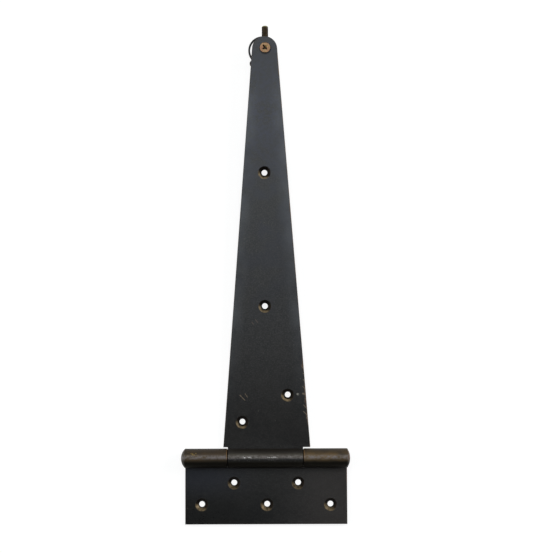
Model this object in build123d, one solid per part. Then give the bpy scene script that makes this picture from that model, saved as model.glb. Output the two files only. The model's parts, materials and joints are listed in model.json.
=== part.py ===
"""Heavy tee hinge, lying on its back as it would on a bench.

A long tapered strap and a broad cross plate are each cut from steel sheet, and
their meeting edges are curled into knuckles round one riveted pin. A countersunk
screw sits in the hole at the strap's tip. A spare screw and the tie that holds
it are behind the tip.

Millimetres. The origin is the middle of the plate's back face, +X runs along the
pin, +Y up the strap and +Z out of the front faces. The tip screw stands out behind
the strap, so the strap rests a little raised, on the end of that screw.
"""

import math
import os

from build123d import *

# Sheet, pin and barrel
SHEET = 4.0
PIN_RADIUS = 4.92
PIN_PLAY = 0.08
SEAM_GAP = 0.5
EDGE_BREAK = 0.4
PIN_HEAD_RADIUS = 8.8
PIN_LEFT_HEAD_HEIGHT = 3.6
PIN_RIGHT_HEAD_HEIGHT = 2.6

# Cross plate
PLATE_WIDTH = 153.4
PLATE_REACH = 62.8
KNUCKLE_GAP = 0.3
NOTCH_CLEARANCE = 0.7
UPPER_ROW_REACH = 23.9
UPPER_ROW_SPACING = 60.7
LOWER_ROW_REACH = 44.1
LOWER_ROW_SPACING = 60.9
LOWER_MIDDLE_OFFSET = 0.9

# Strap, with distances up the strap measured from the pin's axis
STRAP_REACH = 400.5
STRAP_ROOT_WIDTH = 82.6
STRAP_ROOT_OFFSET = 0.75
LEFT_SHOULDER_WIDTH = 4.25
RIGHT_SHOULDER_WIDTH = 6.95
SHOULDER_CLEARANCE = 0.5
TIP_RADIUS = 12.0
TIP_HOLE_INSET = 10.8
TIP_HOLE_OFFSET = 0.4
MIDLINE_HOLE_OFFSET = 0.6
FAR_HOLE_REACH = 270.5
MIDDLE_HOLE_REACH = 143.3
RIGHT_HOLE_REACH = 59.0
RIGHT_HOLE_OFFSET = 20.8
LEFT_HOLE_REACH = 33.4
LEFT_HOLE_OFFSET = 22.4

# Countersunk fixing holes
HOLE_RADIUS = 2.75
SINK_RADIUS = 5.9
TIP_HOLE_RADIUS = 3.3
TIP_SINK_RADIUS = 5.0
SINK_ANGLE = 90.0

# Countersunk machine screws, one in the tip hole and one spare
SCREW_RADIUS = 3.15
SCREW_LENGTH = 19.2
SCREW_HEAD_RADIUS = 4.95
SCREW_HEAD_RIM = 0.3
SCREW_END_CHAMFER = 0.9
SCREW_SEAT_GAP = 0.1
RECESS_SPAN = 6.0
RECESS_WIDTH = 1.6
RECESS_DEPTH = 2.4
RECESS_TAPER = 8.0
TIP_SCREW_TURN = 40.0

# Nylon tie round the two screws
TIE_LOOP_RADIUS = 12.8
TIE_LOOP_OFFSET = 2.45
TIE_LOOP_DROP = 0.1
TIE_PULL_BEARING = -30.0
TIE_THICKNESS = 1.8
TIE_WIDTH = 2.5
TIE_CORNER_RADIUS = 3.0
TIE_EDGE_BREAK = 0.25
TIE_GAP = 0.1
TIE_HEAD_LENGTH = 5.7
TIE_HEAD_HEIGHT = 5.7
TIE_HEAD_WIDTH = 4.6
TIE_HEAD_ROUND = 2.5
TIE_HEAD_BEARING = 233.0
TIE_WINDOW_LENGTH = 2.6
TIE_WINDOW_WIDTH = 2.2
TIE_WINDOW_DEPTH = 0.9

# Places that follow from the sizes above, in the hinge's own frame with the pin's axis as X
BORE_RADIUS = PIN_RADIUS + PIN_PLAY
BARREL_RADIUS = BORE_RADIUS + SHEET
BACK = -BARREL_RADIUS
FRONT = BACK + SHEET
SHOULDER_REACH = BARREL_RADIUS + SHOULDER_CLEARANCE
STRAP_KNUCKLE_WIDTH = STRAP_ROOT_WIDTH - LEFT_SHOULDER_WIDTH - RIGHT_SHOULDER_WIDTH
STRAP_KNUCKLE_OFFSET = (RIGHT_SHOULDER_WIDTH - LEFT_SHOULDER_WIDTH) / 2 - STRAP_ROOT_OFFSET
TIP_HOLE_REACH = STRAP_REACH - TIP_HOLE_INSET
SINK_HALF_ANGLE = math.radians(SINK_ANGLE / 2)
PIN_AXIS = Axis((0, 0, 0), (1, 0, 0))


def curled_sheet(reach, width):
    """A sheet lying along +Y, its near end curled over the pin and back down to its own front face."""
    drop = BARREL_RADIUS - SHEET - SEAM_GAP
    seam = math.degrees(math.asin(drop / BARREL_RADIUS))
    turn = 270 + seam
    with BuildSketch(Plane.YZ) as profile:
        with BuildLine():
            Line((reach, BACK), (0, BACK))
            outer = CenterArc((0, 0), BARREL_RADIUS, 270, -turn)
            inner = CenterArc((0, 0), BORE_RADIUS, 270, -turn)
            Line(outer @ 1, inner @ 1)
            Line((0, FRONT), (reach, FRONT))
            Line((reach, FRONT), (reach, BACK))
        make_face()
    return extrude(profile.sketch, amount=width / 2, both=True)


def countersunk_holes(places, radius=HOLE_RADIUS, sink_radius=SINK_RADIUS):
    """Cutters for holes through the sheet at the given (x, y) places, open to the front face."""
    cutter = CounterSinkHole(
        radius, sink_radius, depth=2 * SHEET, counter_sink_angle=SINK_ANGLE, mode=Mode.PRIVATE
    )
    return [Pos(x, y, FRONT) * cutter for x, y in places]


def broken_edges(sheet, past):
    """Break the sharp edges of a sheet's outline past the given reach, and of its knuckles' ends."""
    flats = sheet.faces().filter_by(Axis.Z).edges()
    outline = [edge for edge in flats if abs(edge.center().Y) >= past]
    arcs = sheet.faces().filter_by(Axis.X).edges().filter_by(GeomType.CIRCLE)
    rims = [arc for arc in arcs if math.isclose(arc.radius, BARREL_RADIUS)]
    return chamfer(outline + rims, EDGE_BREAK)


def fixing_plate():
    """The cross plate, with a knuckle at each end of its curled edge and a notch for the strap's."""
    notch_half = STRAP_KNUCKLE_WIDTH / 2 + KNUCKLE_GAP
    notch_reach = BARREL_RADIUS + NOTCH_CLEARANCE
    plate = mirror(curled_sheet(PLATE_REACH, PLATE_WIDTH), about=Plane.XZ)
    plate -= Pos(-STRAP_KNUCKLE_OFFSET) * Box(2 * notch_half, 2 * notch_reach, 4 * BARREL_RADIUS)
    plate = broken_edges(plate, notch_reach)
    places = [(side * UPPER_ROW_SPACING / 2, -UPPER_ROW_REACH) for side in (-1, 1)]
    lower_row = (-LOWER_ROW_SPACING, LOWER_MIDDLE_OFFSET, LOWER_ROW_SPACING)
    places += [(x, -LOWER_ROW_REACH) for x in lower_row]
    return plate - countersunk_holes(places)


def taper_touch(side):
    """Where the straight edge from the shoulder on one side, -1 or 1, meets the round tip."""
    tip_centre = STRAP_REACH - TIP_RADIUS
    out = STRAP_ROOT_WIDTH / 2 + side * STRAP_ROOT_OFFSET
    run = tip_centre - SHOULDER_REACH
    lean = math.atan2(out, run) - math.asin(TIP_RADIUS / math.hypot(out, run))
    return side * TIP_RADIUS * math.cos(lean), tip_centre + TIP_RADIUS * math.sin(lean)


def strap_planform():
    """The strap seen from the front: knuckle, square shoulders, straight taper and round tip."""
    left_end = -STRAP_KNUCKLE_WIDTH / 2 - STRAP_KNUCKLE_OFFSET
    right_end = STRAP_KNUCKLE_WIDTH / 2 - STRAP_KNUCKLE_OFFSET
    left_shoulder = (left_end, SHOULDER_REACH)
    right_shoulder = (right_end, SHOULDER_REACH)
    left = STRAP_ROOT_OFFSET - STRAP_ROOT_WIDTH / 2
    right = STRAP_ROOT_OFFSET + STRAP_ROOT_WIDTH / 2
    below = -2 * BARREL_RADIUS
    with BuildSketch() as planform:
        with BuildLine():
            Polyline(right_shoulder, (right, SHOULDER_REACH), taper_touch(1))
            ThreePointArc(taper_touch(1), (0, STRAP_REACH), taper_touch(-1))
            Polyline(taper_touch(-1), (left, SHOULDER_REACH), left_shoulder)
            Polyline(left_shoulder, (left_end, below), (right_end, below), right_shoulder)
        make_face()
    return planform.sketch


def strap_leaf():
    """The long tapered strap, cut to its planform and curled at its root into the middle knuckle."""
    strap = curled_sheet(STRAP_REACH, STRAP_ROOT_WIDTH + 2 * STRAP_ROOT_OFFSET)
    strap &= extrude(strap_planform(), amount=2 * BARREL_RADIUS, both=True)
    strap = broken_edges(strap, SHOULDER_REACH)
    places = [
        (-MIDLINE_HOLE_OFFSET, FAR_HOLE_REACH),
        (-MIDLINE_HOLE_OFFSET, MIDDLE_HOLE_REACH),
        (RIGHT_HOLE_OFFSET, RIGHT_HOLE_REACH),
        (-LEFT_HOLE_OFFSET, LEFT_HOLE_REACH),
    ]
    strap -= countersunk_holes(places)
    return strap - countersunk_holes([(TIP_HOLE_OFFSET, TIP_HOLE_REACH)], TIP_HOLE_RADIUS, TIP_SINK_RADIUS)


def dome_radius(height):
    """The radius of the ball that a rivet head of the given height is cut from."""
    return (PIN_HEAD_RADIUS**2 + height**2) / (2 * height)


def hinge_pin():
    """The pin, turned about X, with a low domed rivet head outside each end of the barrel."""
    shoulder = PLATE_WIDTH / 2
    left_end = -shoulder - PIN_LEFT_HEAD_HEIGHT
    right_end = shoulder + PIN_RIGHT_HEAD_HEIGHT
    with BuildSketch() as half:
        with BuildLine():
            Line((left_end, 0), (right_end, 0))
            RadiusArc((right_end, 0), (shoulder, PIN_HEAD_RADIUS), -dome_radius(PIN_RIGHT_HEAD_HEIGHT))
            Polyline(
                (shoulder, PIN_HEAD_RADIUS),
                (shoulder, PIN_RADIUS),
                (-shoulder, PIN_RADIUS),
                (-shoulder, PIN_HEAD_RADIUS),
            )
            RadiusArc((-shoulder, PIN_HEAD_RADIUS), (left_end, 0), -dome_radius(PIN_LEFT_HEAD_HEIGHT))
        make_face()
    return revolve(half.sketch, PIN_AXIS)


def machine_screw():
    """A countersunk screw pointing down -Z, the flat of its cross-recessed head at the origin."""
    neck = SCREW_HEAD_RIM + (SCREW_HEAD_RADIUS - SCREW_RADIUS) / math.tan(SINK_HALF_ANGLE)
    with BuildSketch(Plane.XZ) as half:
        with BuildLine():
            Polyline(
                (0, 0),
                (SCREW_HEAD_RADIUS, 0),
                (SCREW_HEAD_RADIUS, -SCREW_HEAD_RIM),
                (SCREW_RADIUS, -neck),
                (SCREW_RADIUS, SCREW_END_CHAMFER - SCREW_LENGTH),
                (SCREW_RADIUS - SCREW_END_CHAMFER, -SCREW_LENGTH),
                (0, -SCREW_LENGTH),
                close=True,
            )
        make_face()
    cross = Rectangle(RECESS_SPAN, RECESS_WIDTH) + Rectangle(RECESS_WIDTH, RECESS_SPAN)
    recess = extrude(cross, amount=-RECESS_DEPTH, taper=RECESS_TAPER)
    return revolve(half.sketch, Axis.Z) - recess


def head_top_in_sink():
    """How high the flat of a screw's head lies when its cone seats in the hole at the tip."""
    cone_drop = (TIP_SINK_RADIUS - SCREW_HEAD_RADIUS) / math.tan(SINK_HALF_ANGLE)
    return FRONT - cone_drop + SCREW_HEAD_RIM + SCREW_SEAT_GAP / math.sin(SINK_HALF_ANGLE)


def spare_screw_height():
    """The spare screw's axis, with the rim of its head just clear of the strap's back."""
    return BACK - SCREW_HEAD_RADIUS - TIE_GAP


def tie_band():
    """The tie's strip: a D-shaped loop about the tip screw's axis, drawn against that screw."""
    chord = SCREW_RADIUS + TIE_GAP + TIE_THICKNESS / 2
    reach = 4 * TIE_LOOP_RADIUS
    loop = Pos(-TIE_LOOP_OFFSET, -TIE_LOOP_DROP) * Circle(TIE_LOOP_RADIUS)
    loop &= Rot(0, 0, TIE_PULL_BEARING) * Pos(chord - reach / 2, 0) * Rectangle(reach, reach)
    loop = fillet(loop.vertices(), TIE_CORNER_RADIUS)
    ring = offset(loop, TIE_THICKNESS / 2) - offset(loop, -TIE_THICKNESS / 2)
    band = extrude(ring, amount=-TIE_WIDTH)
    return chamfer(band.faces().filter_by(Axis.Z).edges(), TIE_EDGE_BREAK)


def tie_head():
    """The tie's locking head, lying along X from its seat on the strip, with the pawl's window."""
    head = Pos(TIE_HEAD_HEIGHT / 2, 0) * Box(TIE_HEAD_HEIGHT, TIE_HEAD_LENGTH, TIE_HEAD_WIDTH)
    head = fillet(head.edges().filter_by(Axis.Z), TIE_HEAD_ROUND)
    window = Box(2 * TIE_WINDOW_DEPTH, TIE_WINDOW_LENGTH, TIE_WINDOW_WIDTH)
    return head - Pos(TIE_HEAD_HEIGHT, 0) * window


def cable_tie():
    """The tie behind the tip, its strip under the spare screw and round the tip screw."""
    top = spare_screw_height() - SCREW_RADIUS - TIE_GAP
    loop_centre = Pos(-TIE_LOOP_OFFSET, -TIE_LOOP_DROP, -TIE_WIDTH / 2)
    seat = loop_centre * Rot(0, 0, TIE_HEAD_BEARING) * Pos(TIE_LOOP_RADIUS, 0)
    return Pos(TIP_HOLE_OFFSET, TIP_HOLE_REACH, top) * (tie_band() + seat * tie_head())


def rest_angle():
    """How far the strap is raised, in degrees, when the end of its tip screw stands on the bench."""
    screw_end = head_top_in_sink() - SCREW_LENGTH
    near_rim = TIP_HOLE_REACH - (SCREW_RADIUS - SCREW_END_CHAMFER)
    arm = math.hypot(near_rim, screw_end)
    return math.degrees(math.asin(BACK / arm) - math.atan2(screw_end, near_rim))


def main():
    """Build every piece about the pin's axis, raise the strap's pieces to rest, and write the files."""
    screw = machine_screw()
    tip_seat = Pos(TIP_HOLE_OFFSET, TIP_HOLE_REACH, head_top_in_sink())
    spare_seat = Pos(TIP_HOLE_OFFSET, TIP_HOLE_REACH + SCREW_RADIUS + TIE_GAP, spare_screw_height())
    fixed = {
        "fixing_plate": fixing_plate(),
        "hinge_pin": hinge_pin(),
    }
    swinging = {
        "strap_leaf": strap_leaf(),
        "tip_screw": tip_seat * Rot(0, 0, TIP_SCREW_TURN) * screw,
        "spare_screw": spare_seat * Rot(90, 0, 0) * screw,
        "cable_tie": cable_tie(),
    }
    raised = rest_angle()
    to_rest = Rot(raised, 0, 0)
    to_frame = Pos(0, PLATE_REACH / 2, BARREL_RADIUS)
    placed = {name: to_frame * piece for name, piece in fixed.items()}
    placed.update({name: to_frame * to_rest * piece for name, piece in swinging.items()})
    os.makedirs("parts", exist_ok=True)
    for name, piece in placed.items():
        export_step(piece, f"parts/{name}.step")
        print(f"{name}: {piece.volume:.0f} cubic mm")
    print(f"strap raised {raised:.4f} degrees at rest")
    return placed


if __name__ == "__main__":
    main()
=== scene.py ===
# %% [markdown]
# # A heavy tee hinge, dressed for its portrait
#
# The hinge is two pieces of steel sheet, a long tapered strap and a broad cross plate, whose meeting
# edges are curled round one riveted pin. It was painted satin black, and years of handling have
# rubbed the paint brown on the barrel, in the countersinks and along the edges. Two screws and a
# nylon tie are left at the strap's tip.
#
# The solids come from the CAD frame and stay where they are. This lesson gives them their finishes,
# models the screws again with real threads, and sets up the light and the camera.

# %% Load the frame
import json
import math

import bmesh
import bpy
from mathutils import Matrix, Vector


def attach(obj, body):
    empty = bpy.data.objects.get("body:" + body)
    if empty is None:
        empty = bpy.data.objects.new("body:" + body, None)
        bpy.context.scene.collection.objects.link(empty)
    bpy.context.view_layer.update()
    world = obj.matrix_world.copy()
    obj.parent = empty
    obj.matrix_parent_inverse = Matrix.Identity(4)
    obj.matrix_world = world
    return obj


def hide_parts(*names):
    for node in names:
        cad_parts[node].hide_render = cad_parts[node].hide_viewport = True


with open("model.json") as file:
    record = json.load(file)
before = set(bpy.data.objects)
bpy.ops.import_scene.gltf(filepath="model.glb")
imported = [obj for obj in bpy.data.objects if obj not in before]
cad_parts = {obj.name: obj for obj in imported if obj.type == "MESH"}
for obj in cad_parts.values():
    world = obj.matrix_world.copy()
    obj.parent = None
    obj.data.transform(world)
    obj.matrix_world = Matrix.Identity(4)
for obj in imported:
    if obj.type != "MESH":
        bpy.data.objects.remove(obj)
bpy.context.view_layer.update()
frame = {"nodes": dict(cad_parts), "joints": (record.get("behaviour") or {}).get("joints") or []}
print("frame loaded, nodes:", sorted(frame["nodes"]))

# %% [markdown]
# ## Where things are
#
# Everything on a hinge is easiest to place from the axis of its pin, so the frame's one joint gives
# that axis. The joint's lower limit is the strap square to the plate, so what it passes 90 degrees by
# is how far the strap is raised at rest. From here on, sizes are in millimetres and are turned to
# metres only at the end.

# %% The pin's axis and the strap's own frame
MM = 0.001
SQUARE_TO_PLATE = -90.0
swing = frame["joints"][0]
pin_axis = Vector(swing["pos_m"])
raised = math.radians(SQUARE_TO_PLATE - swing["range_deg"][0])
strap_frame = Matrix.Translation(pin_axis) @ Matrix.Rotation(raised, 4, "X")
print(f"pin axis at {tuple(pin_axis)}, strap raised {math.degrees(raised):.3f} degrees")

# %% [markdown]
# ## The camera
#
# The photograph looks straight down on the hinge from about a metre. A camera that stands almost over
# the middle of the strap, tilted by under three degrees, lays every hole of the model on its place in
# the picture.

# %% The camera
IMAGE_WIDTH = 533
FOCAL_LENGTH_PX = 1042.43
SENSOR_WIDTH = 36.0
CAMERA_PLACE = (0.00165, 0.15431, 1.0)
CAMERA_TURN = (2.811, 0.046, -0.211)

camera_data = bpy.data.cameras.new("camera")
camera_data.sensor_fit = "HORIZONTAL"
camera_data.sensor_width = SENSOR_WIDTH
camera_data.lens = FOCAL_LENGTH_PX * SENSOR_WIDTH / IMAGE_WIDTH
camera = bpy.data.objects.new("camera", camera_data)
camera.location = CAMERA_PLACE
camera.rotation_euler = [math.radians(angle) for angle in CAMERA_TURN]
bpy.context.scene.collection.objects.link(camera)
bpy.context.scene.camera = camera
bpy.context.scene.view_settings.view_transform = "Standard"
print(f"camera lens {camera_data.lens:.2f} mm")

# %% [markdown]
# ## Shader maths as plain sums
#
# A finish is a sum of masks: where the paint is cloudy, where it is rubbed, where a scratch runs.
# Wiring those by hand hides the sums, so one small class holds a socket and lets Python's operators
# add the Math nodes. Every other kind of node comes from its one method, node.


# %% A socket that can be calculated with
class Wire:
    """One output of a shader node. Arithmetic on it adds Math nodes to its tree."""

    def __init__(self, tree, socket=None):
        self.tree = tree
        self.socket = socket

    def node(self, kind, settings=None, inputs=None, output=0):
        """Add a node, with its settings first and then the values or wires of its sockets."""
        made = self.tree.nodes.new(kind)
        for name, value in (settings or {}).items():
            setattr(made, name, value)
        for name, value in (inputs or {}).items():
            if isinstance(value, Wire):
                self.tree.links.new(value.socket, made.inputs[name])
            else:
                made.inputs[name].default_value = value
        return Wire(self.tree, made.outputs[output] if made.outputs else None)

    def math(self, operation, *values):
        return self.node("ShaderNodeMath", {"operation": operation}, dict(enumerate(values)))

    def __add__(self, other):
        return self.math("ADD", self, other)

    def __radd__(self, other):
        return self.math("ADD", other, self)

    def __sub__(self, other):
        return self.math("SUBTRACT", self, other)

    def __rsub__(self, other):
        return self.math("SUBTRACT", other, self)

    def __mul__(self, other):
        return self.math("MULTIPLY", self, other)

    def __rmul__(self, other):
        return self.math("MULTIPLY", other, self)

    def __abs__(self):
        return self.math("ABSOLUTE", self)


print("wires ready")


# %% Masks and blends
def step(value, low, high):
    """A soft step: 0 where the value is at low, 1 where it is at high, whichever is larger."""
    sockets = {"Value": value, "From Min": low, "From Max": high}
    return value.node("ShaderNodeMapRange", {"interpolation_type": "SMOOTHSTEP"}, sockets)


def band(value, middle, half_width, softness):
    """A mask that is 1 within half_width of the middle and fades out over the softness."""
    return step(abs(value - middle), half_width + softness, half_width)


def between(mask, low, high):
    return low + mask * (high - low)


def tint(mask, low, high):
    """A colour between two colours, low where the mask is 0 and high where it is 1."""
    return mask.node("ShaderNodeMix", {"data_type": "RGBA"}, {0: mask, 6: low, 7: high}, output=2)


def noise(place, size, detail=3.0, stretch=(1.0, 1.0, 1.0)):
    """Cloudy noise with features of about the given size in mm, drawn out by the stretch."""
    shrink = tuple(1 / factor for factor in stretch)
    drawn = place.node("ShaderNodeVectorMath", {"operation": "MULTIPLY"}, {0: place, 1: shrink})
    return place.node("ShaderNodeTexNoise", None, {"Vector": drawn, "Scale": 1 / size, "Detail": detail})


def distance(place, point):
    return place.node("ShaderNodeVectorMath", {"operation": "DISTANCE"}, {0: place, 1: point}, output=1)


def smallest(values):
    """The smallest of several wires, point by point."""
    least = values[0]
    for value in values[1:]:
        least = least.math("MINIMUM", least, value)
    return least


def shade(red, green, blue):
    """A colour as it is seen on a screen, 0 to 255, turned to the linear colour that a shader takes."""
    linear = [((c / 255 + 0.055) / 1.055) ** 2.4 if c > 10 else c / 255 / 12.92 for c in (red, green, blue)]
    return (*linear, 1.0)


print("black paint reads as", [round(c, 4) for c in shade(34, 35, 36)])

# %% [markdown]
# ## Layers of finish
#
# A worn finish is layers: steel, then paint, then what rubbed the paint away. Look keeps the four
# things that change over a surface, its colour, metal, roughness and height, and each cover lays one
# more layer over them where its mask says. The height ends in a Bump node, so a scratch catches the
# light as well as the eye.


# %% A finish in layers
class Look:
    """What varies over a surface, built up in layers."""

    def __init__(self, colour, metal, rough, height):
        self.colour = colour
        self.metal = metal
        self.rough = rough
        self.height = height

    def cover(self, mask, colour, metal, rough, rise=0.0):
        """Lay a finish over the ones below where the mask is 1, standing proud or sunk by its rise in mm."""
        self.colour = tint(mask, self.colour, colour)
        self.metal = between(mask, self.metal, metal)
        self.rough = between(mask, self.rough, rough)
        self.height = self.height + mask * rise


def new_material(name):
    """An empty material, and a bare wire to start its nodes from."""
    material = bpy.data.materials.new(name)
    material.use_nodes = True
    material.node_tree.nodes.clear()
    return material, Wire(material.node_tree)


def finish_material(start, look):
    """Feed a look to one shader and to the material's output."""
    relief = start.node("ShaderNodeBump", None, {"Height": look.height, "Distance": MM})
    sockets = {"Base Color": look.colour, "Metallic": look.metal, "Roughness": look.rough, "Normal": relief}
    surface = start.node("ShaderNodeBsdfPrincipled", None, sockets)
    start.node("ShaderNodeOutputMaterial", None, {"Surface": surface})


def millimetres_from_pin(start, turn):
    """Places on a piece in mm, measured from the pin's axis and turned with the piece about it."""
    coordinates = start.node("ShaderNodeTexCoord", output="Object")
    sockets = {"Vector": coordinates, "Location": pin_axis, "Rotation": (turn, 0, 0), "Scale": (MM, MM, MM)}
    return start.node("ShaderNodeMapping", {"vector_type": "TEXTURE"}, sockets)


def axes(place):
    """The three coordinates of a place as separate wires."""
    return [place.node("ShaderNodeSeparateXYZ", None, {0: place}, output=axis) for axis in "XYZ"]


print("layers ready")

# %% [markdown]
# ## Satin black paint
#
# Old brushed paint is never one black. Broad clouds shift it between blue-black and brown-black, a
# finer mottle varies its gloss, and a faint orange peel breaks up reflections. Noise at three sizes
# gives all of that, and it is laid on places in millimetres so that it keeps its scale on every
# piece.


# %% The paint
BLUE_BLACK = shade(16, 17, 19)
BROWN_BLACK = shade(23, 22, 21)
PALE_MOTTLE = shade(40, 39, 38)
PALE_GRAIN = shade(49, 48, 47)


def black_paint(place):
    """Satin black paint, cloudy, mottled and finely grained."""
    clouds = noise(place, 38.0)
    mottle = noise(place, 3.2, detail=5.0)
    grain = noise(place, 1.3)
    colour = tint(step(clouds, 0.3, 0.7), BLUE_BLACK, BROWN_BLACK)
    colour = tint(0.4 * step(mottle, 0.40, 0.66), colour, PALE_MOTTLE)
    colour = tint(0.8 * step(grain, 0.42, 0.70), colour, PALE_GRAIN)
    rough = 0.18 + 0.08 * clouds + 0.16 * mottle + 0.22 * grain
    return Look(colour, 0.0, rough, 0.02 * grain + 0.02 * mottle)


# %% [markdown]
# ## The rubbed barrel
#
# The knuckles stand proudest, so they are handled most. On the side towards the strap their paint has
# gone to bronze brown, darkened further down that side by painted shade; along the top they are
# rubbed to grey steel, partly worn metal and partly a painted highlight; and the side towards the
# plate is painted dark as shade. The bands follow one coordinate, how far a place lies towards the
# strap from the pin, with noise to keep their borders ragged.


# %% Rubbed bronze, bright steel and painted shade
BARREL_RADIUS = 9.0
SHEET_FRONT = -5.0
SHEET_BACK = -BARREL_RADIUS
SHEET_MIDDLE = (SHEET_FRONT + SHEET_BACK) / 2
LEFT_BRONZE = shade(70, 54, 32)
RIGHT_BRONZE = shade(90, 71, 42)
DARK_BRONZE = shade(52, 43, 30)
OLIVE_BRONZE = shade(62, 58, 46)
GOLD_SPECK = shade(150, 126, 70)
ORANGE_RIM = shade(140, 106, 64)
# Grey steel, partly rubbed metal and partly a painted highlight.
GREY_STEEL_AND_HIGHLIGHT = shade(108, 102, 100)
# Bright steel for specks, partly worn metal and partly a painted highlight.
BRIGHT_STEEL_AND_HIGHLIGHT = shade(205, 203, 200)
# Painted shade for the side of the barrel that faces the plate.
BARREL_PAINTED_SHADE = shade(46, 44, 39)
# Painted shade for the side of the barrel that faces the strap.
PAINTED_SHADE_BRONZE = shade(30, 25, 18)


def rubbed_bronze(look, mask, place, colour):
    """Paint rubbed to brown metal, finely grained, with darker patches."""
    patches = step(noise(place, 6.0, detail=6.0, stretch=(2.0, 1.0, 1.0)), 0.25, 0.65)
    grain = noise(place, 0.9, detail=4.0, stretch=(2.0, 1.0, 1.0))
    look.cover(mask, tint(patches, DARK_BRONZE, colour), 0.35, 0.45 + 0.2 * grain, rise=0.02 * grain)


def painted_shade_strap_side(look, mask, y):
    """Painted shade: darker bronze down the side of the barrel that faces the strap."""
    look.cover(mask * step(y, 3.5, 8.0), PAINTED_SHADE_BRONZE, 0.5, 0.6)


def rubbed_steel_and_highlight(look, mask, place, y, middle):
    """Softly mottled grey steel along the top of the barrel, its middle a little towards the strap: partly
    rubbed steel and partly a painted highlight.
    """
    mottle = noise(place, 1.6, detail=6.0, stretch=(1.6, 1.0, 1.0))
    worn = band(y, middle, 0.4, 2.4) * step(mottle, 0.28, 0.66)
    look.cover(mask * worn, GREY_STEEL_AND_HIGHLIGHT, 0.5, 0.38 + 0.2 * mottle)


def painted_shade_plate_side(look, mask, y):
    """Painted shade: dull black down the side of the barrel that faces the plate."""
    look.cover(mask * step(y, 0.8, -4.0), BARREL_PAINTED_SHADE, 1.0, 0.6)


def bright_specks(look, mask, place, colour, size, share):
    """Ragged specks of bright metal in about the given share of the cells of a cellular pattern."""
    ragged = step(noise(place, size / 3, stretch=(2.0, 1.0, 1.0)), 0.32, 0.50)
    cells = {"Vector": place, "Scale": 1 / size}
    middle = place.node("ShaderNodeTexVoronoi", None, cells)
    chance = axes(place.node("ShaderNodeTexVoronoi", None, cells, output="Color"))
    size_of_speck = 0.25 + 0.35 * chance[1]
    speck = step(middle - size_of_speck, 0.12, -0.12) * step(chance[0], share + 0.02, share - 0.02)
    look.cover(mask * ragged * speck, colour, 0.9, 0.34)


def stretches(x, places):
    """A mask along the pin, as strong as given within each (middle, half length, strength) in mm."""
    gaps = [1.0 - strength * band(x, middle, half, 1.5) for middle, half, strength in places]
    return 1.0 - smallest(gaps)


# %% [markdown]
# ## Countersinks, edges and scratches
#
# Screw heads have been driven into the countersinks and have scraped their cones to tan metal, most
# on the side towards the lower left; that side faces the light, so the tan crescent is partly the
# scraping and partly a painted lit side, and deeper in, the holes are painted dark as shade. Two
# circles that don't share a centre leave just such a crescent. Edge wear follows the distance from
# the outline, broken up by noise, and a scratch is the distance from a short line.


# %% Wear marks
SINK_RADIUS = 5.9
CRESCENT_SHIFT = (-0.45, -0.81)
# Tan that is partly scraped metal and partly a painted lit side.
SCRAPED_AND_LIT_TAN = shade(136, 118, 88)
CONE_BROWN = shade(40, 35, 29)
WORN_BROWN = shade(88, 73, 62)
SCRATCH_TAN = shade(112, 100, 85)
FAINT_TAN = shade(78, 69, 60)
CHIP_GREY = shade(132, 130, 122)
# Painted shade: black deep in the holes, beside the knuckle gaps and under the tip screw's head.
PAINTED_SHADE_BLACK = shade(20, 19, 18)
HELD_GREY = shade(76, 79, 84)


def off_back(z):
    """A mask for all of a sheet but its back face, which has no countersinks and no scratches."""
    return step(z, SHEET_BACK + 0.1, SHEET_BACK + 0.4)


def worn_countersinks(look, mask, place, flat, holes, scraped_from, scrape):
    """Countersinks with a dark cone and painted shade deeper in, scraped to tan on the lower left from a
    radius out, as much as given; the tan is partly a painted lit side.
    """
    centred = smallest([distance(flat, (x, y, 0)) for x, y in holes])
    shift_x, shift_y = CRESCENT_SHIFT
    shifted = smallest([distance(flat, (x + shift_x, y + shift_y, 0)) for x, y in holes])
    lower_left = step(centred - shifted, -0.05, 0.75)
    ragged = noise(place, 2.5)
    look.cover(mask * step(centred, SINK_RADIUS + 0.5, SINK_RADIUS - 0.7), CONE_BROWN, 1.0, 0.6)
    # Painted shade deeper in the holes.
    look.cover(0.65 * mask * step(centred, SINK_RADIUS - 0.6, SINK_RADIUS - 2.2), PAINTED_SHADE_BLACK, 1.0, 0.6)
    crescent = step(centred, scraped_from - 0.7, scraped_from + 0.3)
    crescent = crescent * step(centred, SINK_RADIUS + 0.6, SINK_RADIUS)
    # The tan crescent on the side that faces the light: partly scraping, partly a painted lit side.
    look.cover(scrape * mask * lower_left * crescent * step(ragged, 0.15, 0.60), SCRAPED_AND_LIT_TAN, 0.3, 0.45)


def worn_edges(look, place, inside, z, reach):
    """Paint worn brown along an outline, about as far in as the reach, and in patches on the wall."""
    ragged = noise(place, 4.0, stretch=(1.0, 3.0, 1.0))
    rubbed = step(inside - reach * 1.6 * step(ragged, 0.35, 0.75), 0.25, 0.0)
    corner = step(abs(z - SHEET_MIDDLE), 1.2, 1.7)
    patchy = 0.8 * step(noise(place, 3.0, detail=5.0, stretch=(1.5, 1.5, 1.0)), 0.46, 0.60)
    look.cover(rubbed * between(corner, patchy, 1.0), WORN_BROWN, 0.3, 0.5)


def handled(look, mask, place, inside, depth):
    """Paint a little paler and glossier towards an outline, where hands have held the sheet."""
    held = mask * step(inside, depth, 0.0) * step(noise(place, 25.0), 0.2, 0.7)
    look.cover(held, HELD_GREY, 0.0, 0.30)


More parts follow.
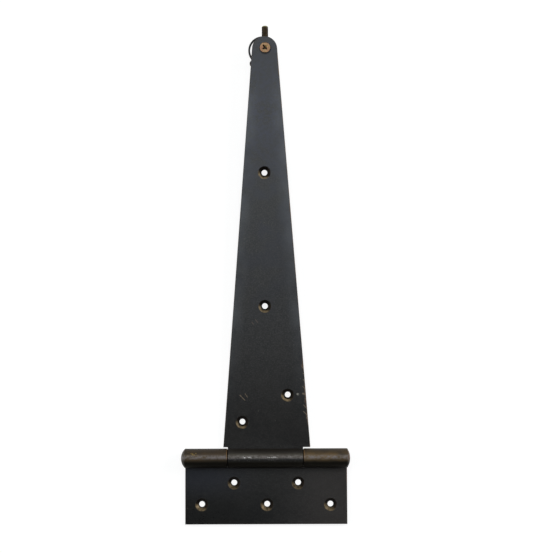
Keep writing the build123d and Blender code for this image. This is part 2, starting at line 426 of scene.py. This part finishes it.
def scratch(flat, start_point, end_point, half_width):
    """A mask for one straight scratch, as the distance from a short line on the flat of the sheet."""
    run = Vector(end_point) - Vector(start_point)
    offset = flat.node("ShaderNodeVectorMath", {"operation": "SUBTRACT"}, {0: flat, 1: (*start_point, 0)})
    along_run = {0: offset, 1: (*(run / run.length_squared), 0)}
    along = flat.node("ShaderNodeVectorMath", {"operation": "DOT_PRODUCT"}, along_run, output=1)
    along = flat.node("ShaderNodeClamp", None, {"Value": along})
    foot = flat.node("ShaderNodeVectorMath", {"operation": "SCALE"}, {0: (*run, 0), "Scale": along})
    gap = flat.node("ShaderNodeVectorMath", {"operation": "DISTANCE"}, {0: offset, 1: foot}, output=1)
    return step(gap, half_width * 1.6, half_width * 0.6)


def scratched(look, mask, place, flat, marks, colour):
    """Scratches through the paint, each a start, an end and a half width in mm, faint in places."""
    broken = mask * step(noise(place, 1.6), 0.25, 0.50)
    for start_point, end_point, half_width in marks:
        mark = scratch(flat, start_point, end_point, half_width)
        look.cover(mark * broken, colour, 0.2, 0.5, rise=-0.03)


def dusty(look, place):
    """A few specks of pale dust, far apart."""
    look.cover(0.5 * step(noise(place, 1.6, detail=1.0), 0.79, 0.83), CHIP_GREY, 0.0, 0.7)


print("wear marks ready")

# %% [markdown]
# ## The strap
#
# The strap keeps its CAD form: a straight taper, a round tip and the middle knuckle. Its edges have
# nicks down the right side near the root, there are two scratches above the left hole, a tan and a
# grey chip beside the right one, and the top of its knuckle shows bright steel, partly worn metal and
# partly a painted highlight. The marks are in millimetres from the pin, as a maker would measure them.

# %% The strap's sizes and marks
TIP_REACH = 400.5
TIP_RADIUS = 12.0
SHOULDER_REACH = 9.5
ROOT_LEFT = 40.55
ROOT_RIGHT = 42.05
TIP_HOLE = (0.4, 389.7)
TIP_SINK_RADIUS = 5.0
STRAP_HOLES = [(-0.6, 270.5), (-0.6, 143.3), (20.8, 59.0), (-22.4, 33.4)]
KNUCKLE_LEFT = -36.3
KNUCKLE_RIGHT = 35.1
TIP_CENTRE = TIP_REACH - TIP_RADIUS
TAPER_RUN = TIP_CENTRE - SHOULDER_REACH
NICKS = [(85.6, 1.5), (79.6, 1.2), (73.6, 1.5), (67.1, 2.6)]
NICKS += [(55.6, 1.4), (49.4, 3.2), (43.2, 3.6), (37.6, 1.2)]
NICK_HALF_WIDTH = 0.3
WORN_MIDDLE = 62.0
WORN_HALF_LENGTH = 25.0
STRAP_BLUE = shade(22, 25, 38)
TIP_BLUE = shade(34, 37, 56)
TIP_BLACK = shade(20, 21, 23)
ROOT_BLACK = shade(16, 14, 12)
SCRATCHES = [
    ((-24.8, 59.0), (-19.8, 54.0), 0.28),
    ((-24.4, 58.6), (-23.8, 58.0), 0.5),
    ((-19.8, 60.4), (-17.5, 56.9), 0.22),
    ((35.4, 60.2), (36.2, 59.8), 0.8),
]
FAINT_SCRATCHES = [((-9.6, 130.6), (-7.4, 127.6), 0.3), ((-13.0, 128.0), (-11.4, 126.0), 0.3)]
CHIPS = [((30.0, 59.8), (30.8, 59.5), 0.8)]
BRIGHT_STRETCHES = [(-17.5, 4.0, 1.0), (-8.6, 0.5, 0.3), (5.0, 5.0, 0.5), (22.0, 0.5, 0.6)]


def taper_slope(root):
    """How fast one straight edge comes in towards the tip, from its distance out at the root."""
    return math.tan(math.atan2(root, TAPER_RUN) - math.asin(TIP_RADIUS / math.hypot(root, TAPER_RUN)))


edge_nicks = []
for reach, run in NICKS:
    edge = ROOT_RIGHT - (reach - SHOULDER_REACH) * taper_slope(ROOT_RIGHT)
    edge_nicks.append(((edge - run, reach), (edge, reach - run), NICK_HALF_WIDTH))
print(len(edge_nicks), "edge nicks and", len(SCRATCHES), "scratches on the strap")


# %% The strap's finish
def inside_edge(x, y, root, side):
    """How far a place lies inside one straight edge of the strap, the left (-1) or the right (1), in mm."""
    slope = taper_slope(root)
    return (root + SHOULDER_REACH * slope - y * slope - side * x) * math.cos(math.atan(slope))


def inside_strap(flat, x, y):
    """How far a place lies inside the strap's whole outline, in mm."""
    taper = smallest([inside_edge(x, y, ROOT_LEFT, -1), inside_edge(x, y, ROOT_RIGHT, 1)])
    round_tip = TIP_RADIUS - distance(flat, (0, TIP_CENTRE, 0))
    return between(step(y, TIP_CENTRE, TIP_CENTRE + 1), taper, round_tip)


def on_barrel(place, y, z):
    """A mask for the curled part of a sheet, above its flat front."""
    section = axis_section(place, y, z)
    from_axis = place.node("ShaderNodeVectorMath", {"operation": "LENGTH"}, {0: section}, output=1)
    above_front = step(z, SHEET_FRONT, SHEET_FRONT + 1.0)
    return step(from_axis, BARREL_RADIUS + 1.5, BARREL_RADIUS + 0.5) * above_front


def axis_section(place, y, z):
    """A place moved along the pin to the middle of the barrel, so that its length is its radius."""
    return place.node("ShaderNodeCombineXYZ", None, {"Y": y, "Z": z})


def flattened(place, x, y):
    """A place moved straight down onto the plane of the sheet."""
    return place.node("ShaderNodeCombineXYZ", None, {"X": x, "Y": y})


def strap_finish():
    material, start = new_material("worn_black_strap")
    place = millimetres_from_pin(start, raised)
    x, y, z = axes(place)
    flat = flattened(place, x, y)
    look = black_paint(place)
    inside = inside_strap(flat, x, y)
    blue_clouds = step(noise(place, 20.0), 0.38, 0.60) * step(y, 90.0, 240.0)
    look.cover(0.6 * blue_clouds, STRAP_BLUE, 0.0, 0.34)
    blotches = step(noise(place, 3.0, detail=4.0), 0.42, 0.62) * step(y, 240.0, 330.0)
    look.cover(0.7 * blotches, TIP_BLUE, 0.0, 0.40)
    front = off_back(z)
    held = step(y, 390.0, 320.0) * between(step(y, 20.0, 160.0), 0.05, 0.50)
    handled(look, held, place, inside, 14.0)
    look.cover(0.5 * step(y, 320.0, 395.0), TIP_BLACK, 0.0, 0.45)
    look.cover(0.45 * step(y, 130.0, 20.0), ROOT_BLACK, 0.0, 0.26)
    worn_edges(look, place, inside, z, 0.1)
    right_edge = inside_edge(x, y, ROOT_RIGHT, 1)
    worn_edges(look, place, right_edge, z, 0.6)
    beside_root_holes = band(y, WORN_MIDDLE, WORN_HALF_LENGTH, 8.0)
    worn_edges(look, place, right_edge + 9.0 * (1.0 - beside_root_holes), z, 1.3)
    dusty(look, place)
    scratched(look, front, place, flat, edge_nicks + SCRATCHES, SCRATCH_TAN)
    scratched(look, front, place, flat, FAINT_SCRATCHES, FAINT_TAN)
    scratched(look, front, place, flat, CHIPS, CHIP_GREY)
    scrape = between(step(x, 0.0, 10.0), 0.8, 1.0)
    worn_countersinks(look, front, place, flat, STRAP_HOLES, 4.4, scrape)
    # A painted shadow under the lower rim of the tip screw's head.
    head_shadow_distance = distance(flat, (TIP_HOLE[0] + 0.2, TIP_HOLE[1] - 0.8, 0))
    look.cover(0.5 * front * step(head_shadow_distance, TIP_SINK_RADIUS + 1.2, TIP_SINK_RADIUS + 0.2), PAINTED_SHADE_BLACK, 1.0, 0.6)
    barrel = on_barrel(place, y, z)
    rubbed_bronze(look, 0.8 * barrel * band(y, 3.6, 1.2, 2.2), place, OLIVE_BRONZE)
    # Painted shade down the knuckle's side towards the strap.
    painted_shade_strap_side(look, 0.9 * barrel, y)
    # Painted shade down the knuckle's side towards the plate.
    painted_shade_plate_side(look, barrel, y)
    # Grey steel along the knuckle's top, partly rubbed metal and partly a painted highlight.
    rubbed_steel_and_highlight(look, 0.65 * barrel, place, y, 2.4)
    # Bright specks along the knuckle's top line, partly worn metal and partly a painted highlight.
    top_line_highlight = barrel * band(y, 2.0, 0.2, 0.8)
    bright_specks(look, top_line_highlight * stretches(x, BRIGHT_STRETCHES), place, BRIGHT_STEEL_AND_HIGHLIGHT, 1.45, 0.7)
    # Grey specks near the top, partly worn metal and partly a painted highlight.
    bright_specks(look, 0.3 * barrel * band(y, 0.5, 1.5, 1.5), place, GREY_STEEL_AND_HIGHLIGHT, 1.6, 0.4)
    # Painted shade on the knuckle's ends, beside the gaps to the plate's knuckles.
    to_gap = smallest([x - KNUCKLE_LEFT, KNUCKLE_RIGHT - x])
    look.cover(barrel * step(to_gap, 0.8, 0.4), PAINTED_SHADE_BLACK, 1.0, 0.6)
    finish_material(start, look)
    return material


print("strap finish ready")

# %% [markdown]
# ## The plate and the pin
#
# The cross plate wears like the strap, with its two knuckles rubbed to bronze. The pin's domed heads
# were hammered over cold: the right one is still brown, and the left one is rubbed to grey steel,
# partly worn metal and partly a painted highlight.

# %% The plate's finish
PLATE_HALF_WIDTH = 76.7
PLATE_REACH = 62.8
GOLD_PATCH = (-69.5, 4.8)
PLATE_HOLES = [(-30.35, -23.9), (30.35, -23.9), (-60.9, -44.1), (0.9, -44.1), (60.9, -44.1)]
KNUCKLE_ENDS = (-36.6, 35.4)
HAMMER_DEPTH = 0.25
HAMMER_SCALE = 0.4
RIGHT_BROWN = shade(50, 46, 44)
MIDDLE_BLACK = shade(14, 15, 15)
LOWER_LEFT_BLACK = shade(10, 12, 12)
UPPER_LEFT_BLUE = shade(36, 40, 51)
HEAD_BROWN = shade(92, 70, 50)


def plate_finish():
    material, start = new_material("worn_black_plate")
    place = millimetres_from_pin(start, 0.0)
    x, y, z = axes(place)
    flat = flattened(place, x, y)
    look = black_paint(place)
    look.cover(0.6 * step(x, -10.0, 75.0), RIGHT_BROWN, 0.0, 0.36)
    look.cover(0.35 * step(x, 60.0, 0.0), MIDDLE_BLACK, 0.0, 0.25)
    look.cover(0.6 * step(x, 45.0, -60.0) * step(y, -15.0, -55.0), LOWER_LEFT_BLACK, 0.0, 0.24)
    look.cover(0.5 * step(x, 0.0, -60.0) * step(y, -45.0, -15.0), UPPER_LEFT_BLUE, 0.0, 0.32)
    worn_edges(look, place, smallest([PLATE_HALF_WIDTH - abs(x), y + PLATE_REACH]), z, 0.1)
    worn_edges(look, place, PLATE_HALF_WIDTH - x, z, 0.6)
    scrape = between(step(y, -36.0, -32.0), 0.8, 0.5)
    worn_countersinks(look, off_back(z), place, flat, PLATE_HOLES, 3.6, scrape)
    dusty(look, place)
    barrel = on_barrel(place, y, z)
    rubbed_bronze(look, barrel, place, tint(step(x, -60.0, 60.0), LEFT_BRONZE, RIGHT_BRONZE))
    # Painted shade down the knuckles' side towards the strap.
    painted_shade_strap_side(look, 0.6 * barrel, y)
    # Painted shade down the knuckles' side towards the plate.
    painted_shade_plate_side(look, barrel, y)
    # Grey steel along the knuckles' top, partly rubbed metal and partly a painted highlight.
    rubbed_steel_and_highlight(look, 0.85 * barrel, place, y, 1.9)
    to_gap = smallest([abs(x - end) for end in KNUCKLE_ENDS])
    look.cover(0.7 * barrel * step(to_gap, 0.8, 0.3) * step(y, -1.0, 1.5), ORANGE_RIM, 0.5, 0.45)
    # A painted highlight on the outer ends of the plate's knuckles.
    painted_rim_highlight = barrel * step(PLATE_HALF_WIDTH - abs(x), 1.0, 0.3) * band(y, 1.5, 1.5, 1.5)
    look.cover(0.7 * painted_rim_highlight, GREY_STEEL_AND_HIGHLIGHT, 0.5, 0.4)
    gold_patch = barrel * band(x, GOLD_PATCH[0], 5.0, 2.5) * band(y, GOLD_PATCH[1], 1.0, 1.2)
    bright_specks(look, 0.65 * gold_patch, place, GOLD_SPECK, 1.5, 0.45)
    finish_material(start, look)
    return material


def pin_finish():
    material, start = new_material("browned_pin")
    place = millimetres_from_pin(start, 0.0)
    look = black_paint(place)
    x, y, z = axes(place)
    rubbed_bronze(look, 0.2 + 0.6 * step(noise(place, 5.0), 0.35, 0.6), place, LEFT_BRONZE)
    look.cover(0.85 * step(x, 0.0, 10.0), HEAD_BROWN, 0.9, 0.5)
    # Grey steel on the left head, partly rubbed metal and partly a painted highlight.
    rubbed_steel_and_highlight(look, 0.9 * step(x, 0.0, -10.0), place, y, 1.2)
    dents = place.node("ShaderNodeTexVoronoi", None, {"Vector": place, "Scale": HAMMER_SCALE})
    look.height = look.height + HAMMER_DEPTH * dents
    # Painted shade down the pin heads' side towards the plate.
    painted_shade_plate_side(look, step(z, -2.0, 2.0), y)
    finish_material(start, look)
    return material


print("plate and pin finishes ready")

# %% [markdown]
# ## Dressing the CAD solids
#
# The frame's meshes are loose triangles. A Weld modifier joins them and an Edge Split keeps the real
# edges crisp, so the curled barrels shade round while the meshes themselves stay untouched.

# %% Finishes on the CAD solids
SHARP_ANGLE = math.radians(25)
WELD_DISTANCE = 1e-6


def dress(node, material):
    """Give a CAD node a finish and smooth shading between its sharp edges."""
    solid = frame["nodes"][node]
    solid.data.materials.clear()
    solid.data.materials.append(material)
    solid.data.shade_smooth()
    weld = solid.modifiers.new("weld", "WELD")
    weld.merge_threshold = WELD_DISTANCE
    split = solid.modifiers.new("crisp_edges", "EDGE_SPLIT")
    split.split_angle = SHARP_ANGLE
    print(node, "dressed with", material.name)


dress("strap_leaf", strap_finish())
dress("fixing_plate", plate_finish())
dress("hinge_pin", pin_finish())

# %% [markdown]
# ## The screws
#
# Both screws are zinc-plated machine screws with a countersunk head, one still yellow and one gone
# dark. A screw is a turned shape, so its half profile is spun about its axis. The thread is then
# pressed into the shank: each ring of vertices moves in by how far it is from the crest of a helix.
# Last, two tapered bars and a cone cut the cross recess.

# %% Sizes of a screw
SCREW_RADIUS = 3.15
SCREW_LENGTH = 19.2
HEAD_RADIUS = 4.95
HEAD_RIM = 0.3
RIM_BREAK = 0.12
END_CHAMFER = 0.9
THREAD_PITCH = 1.0
THREAD_DEPTH = 0.26
RINGS_PER_PITCH = 10
SCREW_STEPS = 64
SCREW_SHARP_ANGLE = math.radians(32)
HEAD_NECK = HEAD_RIM + HEAD_RADIUS - SCREW_RADIUS


def screw_profile():
    """The half profile of a screw, from the middle of its head to the middle of its end, as (radius, z)."""
    points = [(0, 0), (HEAD_RADIUS - RIM_BREAK, 0), (HEAD_RADIUS, -RIM_BREAK), (HEAD_RADIUS, -HEAD_RIM)]
    points.append((SCREW_RADIUS, -HEAD_NECK))
    rings = round((SCREW_LENGTH - HEAD_NECK) / THREAD_PITCH * RINGS_PER_PITCH)
    for ring in range(1, rings + 1):
        z = -HEAD_NECK - (SCREW_LENGTH - HEAD_NECK) * ring / rings
        points.append((min(SCREW_RADIUS, SCREW_RADIUS - END_CHAMFER + z + SCREW_LENGTH), z))
    points.append((0, -SCREW_LENGTH))
    return points


def press_thread(vertex):
    """Move a vertex of the shank in towards the axis, into the groove of a right-hand thread."""
    radius = math.hypot(vertex.co.x, vertex.co.y)
    if vertex.co.z > -HEAD_NECK - 0.05 or radius < SCREW_RADIUS / 2:
        return
    turn = math.atan2(vertex.co.y, vertex.co.x) / math.tau
    phase = (vertex.co.z / THREAD_PITCH - turn) % 1
    groove = min(1.0, max(0.0, 1.25 * abs(2 * phase - 1) - 0.1))
    fade = min(1.0, (-HEAD_NECK - vertex.co.z) / THREAD_PITCH)
    pressed = min(radius, SCREW_RADIUS - THREAD_DEPTH * groove * fade)
    vertex.co.x *= pressed / radius
    vertex.co.y *= pressed / radius


def new_piece(name, shape):
    """An object at the origin from a finished bmesh."""
    mesh = bpy.data.meshes.new(name)
    shape.to_mesh(mesh)
    shape.free()
    piece = bpy.data.objects.new(name, mesh)
    bpy.context.scene.collection.objects.link(piece)
    return piece


def screw_blank():
    """A threaded screw in mm with no recess, its head's flat at the origin and its shank down -Z."""
    shape = bmesh.new()
    vertices = [shape.verts.new((radius, 0, z)) for radius, z in screw_profile()]
    edges = [shape.edges.new(pair) for pair in zip(vertices, vertices[1:])]
    bmesh.ops.spin(
        shape,
        geom=vertices + edges,
        cent=(0, 0, 0),
        axis=(0, 0, 1),
        angle=math.tau,
        steps=SCREW_STEPS,
        use_merge=True,
    )
    bmesh.ops.remove_doubles(shape, verts=shape.verts, dist=1e-5)
    bmesh.ops.recalc_face_normals(shape, faces=shape.faces)
    for vertex in shape.verts:
        press_thread(vertex)
    return shape


# %% The cross recess
RECESS_SPAN = 6.0
RECESS_WIDTH = 1.6
RECESS_DEPTH = 2.4
RECESS_FLOOR_SHARE = 0.65
RECESS_CONE_RADIUS = 1.9
RECESS_CONE_END_RADIUS = 0.5
RECESS_CONE_DEPTH = RECESS_DEPTH + 0.25
CUT_MARGIN = 0.05


def recess_bar(turn):
    """A tapered bar that cuts one slot of the cross, standing a little out of the head."""
    shape = bmesh.new()
    bmesh.ops.create_cube(shape, size=2.0)
    for vertex in shape.verts:
        share = RECESS_FLOOR_SHARE if vertex.co.z < 0 else 1.0
        vertex.co.x *= share * RECESS_SPAN / 2
        vertex.co.y *= (share + 1) / 2 * RECESS_WIDTH / 2
        vertex.co.z = -RECESS_DEPTH if vertex.co.z < 0 else CUT_MARGIN
    bmesh.ops.rotate(shape, verts=shape.verts, matrix=Matrix.Rotation(turn, 3, "Z"))
    return shape


def recess_cone():
    """The cone in the middle of the cross."""
    shape = bmesh.new()
    bmesh.ops.create_cone(
        shape,
        cap_ends=True,
        segments=24,
        radius1=RECESS_CONE_END_RADIUS,
        radius2=RECESS_CONE_RADIUS,
        depth=RECESS_CONE_DEPTH,
    )
    bmesh.ops.translate(shape, verts=shape.verts, vec=(0, 0, CUT_MARGIN - RECESS_CONE_DEPTH / 2))
    return shape


def cut(piece, cutter_shape):
    """Cut a shape out of a piece and keep the result as the piece's own mesh."""
    cutter = new_piece("cutter", cutter_shape)
    boolean = piece.modifiers.new("cut", "BOOLEAN")
    boolean.operation = "DIFFERENCE"
    boolean.solver = "EXACT"
    boolean.object = cutter
    bpy.context.view_layer.update()
    evaluated = piece.evaluated_get(bpy.context.evaluated_depsgraph_get())
    result = bpy.data.meshes.new_from_object(evaluated)
    piece.modifiers.clear()
    piece.data = result
    bpy.data.objects.remove(cutter)


def make_screw(name, place, material):
    """A whole screw, placed by a matrix in mm in the strap's frame."""
    piece = new_piece(name, screw_blank())
    for cutter in (recess_bar(0), recess_bar(math.pi / 2), recess_cone()):
        cut(piece, cutter)
    piece.data.transform(strap_frame @ Matrix.Scale(MM, 4) @ place)
    piece.data.name = name
    piece.data.materials.clear()
    piece.data.materials.append(material)
    piece.data.shade_smooth()
    piece.data.set_sharp_from_angle(angle=SCREW_SHARP_ANGLE)
    print(name, "has", len(piece.data.polygons), "faces")
    return piece


# %% [markdown]
# ## Yellow zinc
#
# Zinc plating that was passivated yellow is a thin film: it is golden where it is thick, coppery
# where it is rubbed and olive in between. Two noises choose between those three colours on a soft
# metal.


# %% The screws' finishes
# Painted shade for the screws.
PAINTED_SHADE_BROWN = shade(30, 24, 16)
# A painted highlight on the rim of the spare screw's end.
PAINTED_END_GLINT = shade(150, 146, 100)
# Painted highlights in the recess of the tip screw.
PAINTED_UPPER_GLINT = shade(250, 228, 165)
PAINTED_LOWER_GLINT = shade(205, 176, 124)
YELLOW_ZINC = (shade(146, 115, 84), shade(138, 100, 76), shade(132, 112, 74))
DARK_ZINC = (shade(66, 52, 33), shade(48, 37, 24), shade(76, 68, 42))
TIP_SCREW_TURN = 40.0
SEAT_GAP = 0.1
TIP_HEAD_HEIGHT = SHEET_FRONT - (TIP_SINK_RADIUS - HEAD_RADIUS) + HEAD_RIM + SEAT_GAP * math.sqrt(2)
SPARE_REACH = TIP_HOLE[1] + SCREW_RADIUS + SEAT_GAP
SPARE_END = SPARE_REACH + SCREW_LENGTH


def zinc(place, metal, colours):
    """Plated steel in three colours: golden, coppery and olive."""
    golden, coppery, olive = colours
    bloom = noise(place, 3.5)
    film = noise(place, 1.2)
    colour = tint(step(bloom, 0.40, 0.60), golden, coppery)
    colour = tint(step(film, 0.52, 0.70), colour, olive)
    return Look(colour, metal, 0.36 + 0.16 * film, 0.01 * film)


def tip_screw_finish():
    """Yellow zinc with painted shade deep in the recess and along the top and bottom of the head, and
    painted highlights in the slots at its upper right and lower part.
    """
    material, start = new_material("yellow_zinc")
    place = millimetres_from_pin(start, raised)
    x, y, z = axes(place)
    look = zinc(place, 0.85, YELLOW_ZINC)
    sunk = step(z, TIP_HEAD_HEIGHT - 0.4, TIP_HEAD_HEIGHT - 1.6)
    # Painted shade deep in the cross recess.
    look.cover(0.9 * sunk * band(y, TIP_HOLE[1] - 0.4, 1.6, 0.8), PAINTED_SHADE_BROWN, 0.6, 0.6)
    # Painted highlights on the upper right and lower slots of the recess.
    upper_right = step(x - TIP_HOLE[0] + y - TIP_HOLE[1], 1.4, 2.4)
    lower = step(y - TIP_HOLE[1], -1.0, -1.8)
    in_slot = step(z, TIP_HEAD_HEIGHT - 0.1, TIP_HEAD_HEIGHT - 0.5)
    look.cover(0.9 * in_slot * upper_right, PAINTED_UPPER_GLINT, 0.0, 0.4)
    look.cover(0.8 * in_slot * lower, PAINTED_LOWER_GLINT, 0.0, 0.4)
    # Painted shade along the top and bottom edges of the head.
    look.cover(0.7 * step(abs(y - TIP_HOLE[1]), HEAD_RADIUS - 0.9, HEAD_RADIUS - 0.2), PAINTED_SHADE_BROWN, 0.8, 0.6)
    finish_material(start, look)
    return material


def spare_screw_finish():
    """Dark zinc with painted shade down the sides of the thread, and a painted glint on the rim of its end.
    """
    material, start = new_material("dark_zinc")
    place = millimetres_from_pin(start, raised)
    x, y = axes(place)[:2]
    look = zinc(place, 0.5, DARK_ZINC)
    # Painted shade down the sides of the thread.
    look.cover(0.8 * step(abs(x - TIP_HOLE[0]), 1.4, 2.8), PAINTED_SHADE_BROWN, 1.0, 0.8)
    # A painted glint on the rim of the end.
    end_rim = step(y, SPARE_END - 1.6, SPARE_END - 0.3) * step(y, SPARE_END, SPARE_END - 0.1)
    look.cover(end_rim, PAINTED_END_GLINT, 0.7, 0.35)
    finish_material(start, look)
    return material


# %% The two screws in place
tip_matrix = Matrix.Translation((*TIP_HOLE, TIP_HEAD_HEIGHT))
tip_matrix = tip_matrix @ Matrix.Rotation(math.radians(TIP_SCREW_TURN), 4, "Z")
spare_matrix = Matrix.Translation((TIP_HOLE[0], SPARE_REACH, SHEET_BACK - HEAD_RADIUS - SEAT_GAP))
spare_matrix = spare_matrix @ Matrix.Rotation(math.radians(90), 4, "X")


def fit_screw(node, matrix, material):
    """Put a threaded screw where a plain one stands in the frame."""
    screw = make_screw(node + "_threaded", matrix, material)
    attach(screw, "strap")
    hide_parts(node)


fit_screw("tip_screw", tip_matrix, tip_screw_finish())
fit_screw("spare_screw", spare_matrix, spare_screw_finish())

# %% [markdown]
# ## The nylon tie
#
# The tie is moulded nylon, matt with a soft sheen. Its CAD form already has the strip, the locking
# head and the window for the pawl, so it only needs its finish: fine moulding grain and paler scuffs.


# %% The tie's finish
NYLON_BLACK = shade(14, 14, 15)
NYLON_SCUFF = shade(40, 40, 41)


def nylon_finish():
    material, start = new_material("black_nylon")
    place = millimetres_from_pin(start, raised)
    grain = noise(place, 0.6)
    scuffs = step(noise(place, 2.5), 0.55, 0.75)
    look = Look(tint(scuffs, NYLON_BLACK, NYLON_SCUFF), 0.0, 0.5 + 0.2 * grain, 0.02 * grain)
    finish_material(start, look)
    return material


dress("cable_tie", nylon_finish())

# %% [markdown]
# ## Floor and light
#
# The background of the photograph is plain white with hardly a shadow. The floor is therefore mostly
# its own white to the camera and in reflections, and a little of it is a pale surface that still
# takes the hinge's shadow. The light is a large soft box over the tip end and a smaller one at each
# side, in a world that is darker behind the plate, so that the strap brightens towards its tip and
# the near side of the barrel falls dark.

# %% The floor
FLOOR_SIZE = 6.0
FLOOR_OWN_WHITE = 0.86
FLOOR_PALE = (0.22, 0.22, 0.22, 1.0)
FLOOR_DROP = -0.0002


def floor_material():
    material, start = new_material("white_floor")
    kinds = ("Camera", "Glossy", "Transmission")
    rays = [start.node("ShaderNodeLightPath", output=f"Is {kind} Ray") for kind in kinds]
    shown = rays[0].math("MAXIMUM", rays[0], rays[0].math("MAXIMUM", rays[1], rays[2]))
    pale = start.node("ShaderNodeBsdfDiffuse", None, {"Color": FLOOR_PALE})
    white = start.node("ShaderNodeEmission", None, {"Strength": FLOOR_OWN_WHITE * shown})
    both = start.node("ShaderNodeAddShader", None, {0: pale, 1: white})
    start.node("ShaderNodeOutputMaterial", None, {"Surface": both})
    return material


floor_shape = bmesh.new()
bmesh.ops.create_grid(floor_shape, x_segments=1, y_segments=1, size=FLOOR_SIZE / 2)
bmesh.ops.translate(floor_shape, verts=floor_shape.verts, vec=(0, 0, FLOOR_DROP))
floor = new_piece("floor", floor_shape)
floor.data.materials.append(floor_material())
print("floor laid")


# %% Lamps and world
def soft_box(name, place, size, power, aim=(0.0, 0.15, 0.0), colour=(1.0, 1.0, 1.0)):
    """A square area lamp that faces the hinge."""
    lamp = bpy.data.lights.new(name, "AREA")
    lamp.size = size
    lamp.energy = power
    lamp.color = colour
    box = bpy.data.objects.new(name, lamp)
    box.location = place
    box.rotation_euler = (Vector(aim) - Vector(place)).to_track_quat("-Z", "Y").to_euler()
    box.visible_camera = False
    bpy.context.scene.collection.objects.link(box)


soft_box("overhead", (0.0, 0.98, 2.0), 1.6, 17.0, colour=(0.87, 0.945, 1.0))
soft_box("right_side", (1.5, 0.7, 0.9), 0.9, 17.0, colour=(1.0, 0.98, 0.95))
soft_box("left_side", (-1.6, 0.3, 0.8), 0.9, 12.5, colour=(1.0, 0.985, 0.96))

# %% A world that is darker behind the plate
WORLD_DARK = 0.04
WORLD_BRIGHT = 0.30
WORLD_COLOUR = (1.0, 0.99, 0.97, 1.0)
world = bpy.data.worlds.new("studio")
world.use_nodes = True
world.node_tree.nodes.clear()
sky = Wire(world.node_tree)
towards_tip = axes(sky.node("ShaderNodeTexCoord", output="Generated"))[1]
sky_level = between(step(towards_tip, -0.3, 0.5), WORLD_DARK, WORLD_BRIGHT)
background = sky.node("ShaderNodeBackground", None, {"Color": WORLD_COLOUR, "Strength": sky_level})
sky.node("ShaderNodeOutputWorld", None, {"Surface": background})
bpy.context.scene.world = world
print("lit")
